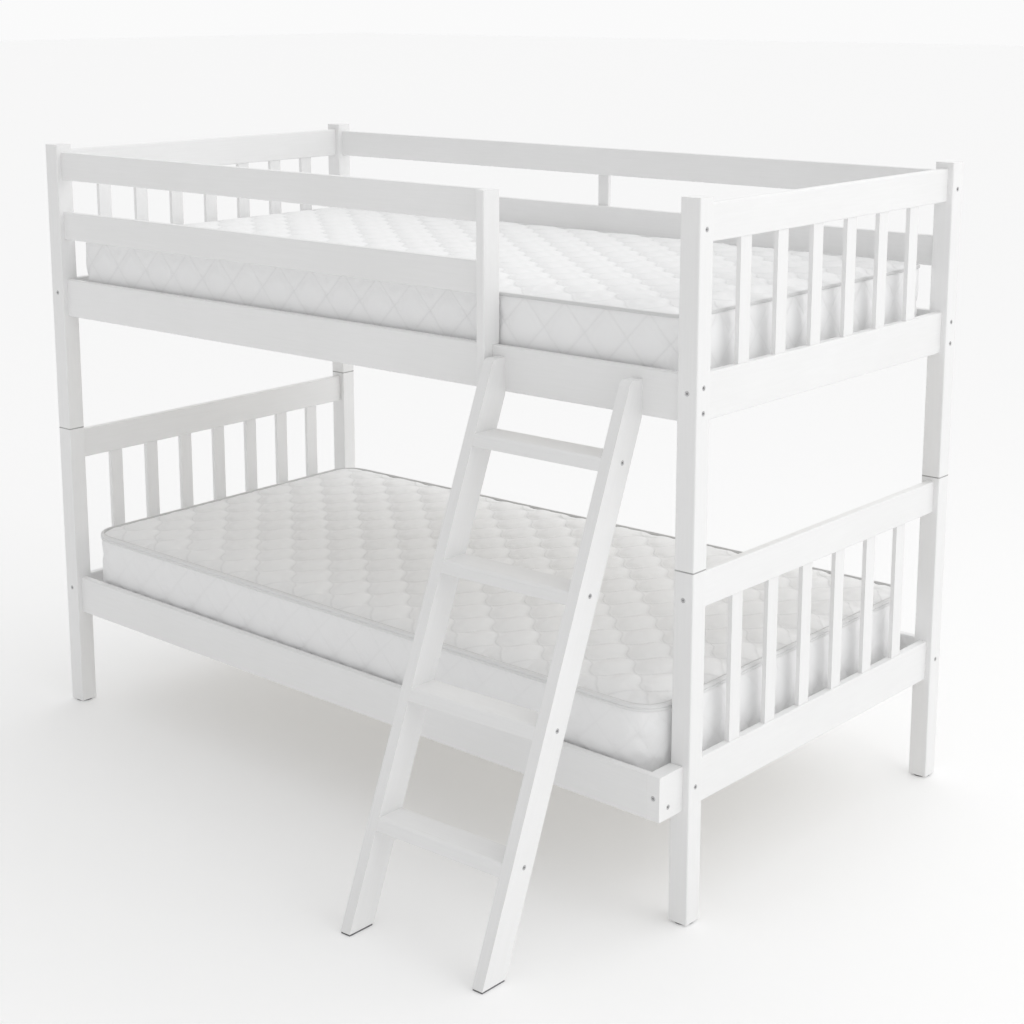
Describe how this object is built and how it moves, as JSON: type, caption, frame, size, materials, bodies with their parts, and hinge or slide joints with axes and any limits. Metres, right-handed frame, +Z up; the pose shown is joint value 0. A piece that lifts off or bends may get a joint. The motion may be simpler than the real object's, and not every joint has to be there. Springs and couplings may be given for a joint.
{
  "type": "bunk bed",
  "caption": "White wooden bunk bed: two stacked frames with slatted end panels, side guards, slatted decks, mattresses and a slanted ladder with flat treads.",
  "frame": {"origin": "on the floor, under the middle of the box around the bed and its ladder", "axes": "+Z up, +X along the bed towards the ladder end, -Y towards the ladder side"},
  "size_m": [2.014, 1.5116, 1.482],
  "materials": {
    "white_wood": "satin white paint",
    "bare_wood": "planed pine, unpainted",
    "fastener": "zinc-plated steel",
    "glide": "matt grey plastic",
    "mattress_cover": "white quilted cover"
  },
  "bodies": {
    "lower_frame": {"lower_post_front_left": "white_wood", "lower_post_front_right": "white_wood", "lower_post_back_left": "white_wood", "lower_post_back_right": "white_wood", "lower_left_cap_rail": "white_wood", "lower_left_end_rail": "white_wood", "lower_right_cap_rail": "white_wood", "lower_right_end_rail": "white_wood", "lower_left_spindles": "white_wood", "lower_right_spindles": "white_wood", "lower_front_rail": "white_wood", "lower_back_rail": "white_wood", "corner_block": "white_wood", "lower_front_cleat": "white_wood", "lower_back_cleat": "white_wood", "lower_deck_slats": "bare_wood", "lower_deck_screws": "fastener", "post_glides": "glide", "stacking_pins": "fastener", "lower_bolts": "fastener", "lower_barrel_nuts": "fastener", "corner_block_bolts": "fastener"},
    "upper_frame": {"upper_post_front_left": "white_wood", "upper_post_front_right": "white_wood", "upper_post_back_left": "white_wood", "upper_post_back_right": "white_wood", "upper_left_cap_rail": "white_wood", "upper_left_end_rail": "white_wood", "upper_right_cap_rail": "white_wood", "upper_right_end_rail": "white_wood", "upper_left_spindles": "white_wood", "upper_right_spindles": "white_wood", "upper_front_rail": "white_wood", "upper_back_rail": "white_wood", "upper_front_cleat": "white_wood", "upper_back_cleat": "white_wood", "upper_deck_slats": "bare_wood", "upper_deck_screws": "fastener", "upper_bolts": "fastener", "upper_barrel_nuts": "fastener", "cap_bolts": "fastener", "guard_top_board": "white_wood", "guard_middle_board": "white_wood", "guard_post": "white_wood", "back_guard_top_board": "white_wood", "back_guard_middle_board": "white_wood", "back_guard_stile": "white_wood", "guard_dowels": "bare_wood", "guard_screws": "fastener", "ladder_left_stringer": "white_wood", "ladder_right_stringer": "white_wood", "ladder_tread_1": "white_wood", "ladder_tread_2": "white_wood", "ladder_tread_3": "white_wood", "ladder_tread_4": "white_wood", "ladder_bolts": "fastener", "ladder_mount_bolts": "fastener", "ladder_foot_pads": "glide"},
    "upper_mattress_body": {"upper_mattress": "mattress_cover"},
    "lower_mattress_body": {"lower_mattress": "mattress_cover"}
  },
  "joints": [
    {"name": "upper_frame_lift", "type": "slide", "parent": "lower_frame", "child": "upper_frame", "axis": [0, 0, 1], "range_m": [0, 0.12]},
    {"name": "upper_mattress_lift", "type": "slide", "parent": "upper_frame", "child": "upper_mattress_body", "axis": [0, 0, 1], "range_m": [0, 0.3]},
    {"name": "lower_mattress_lift", "type": "slide", "parent": "lower_frame", "child": "lower_mattress_body", "axis": [0, 0, 1], "range_m": [0, 0.3]}
  ]
}
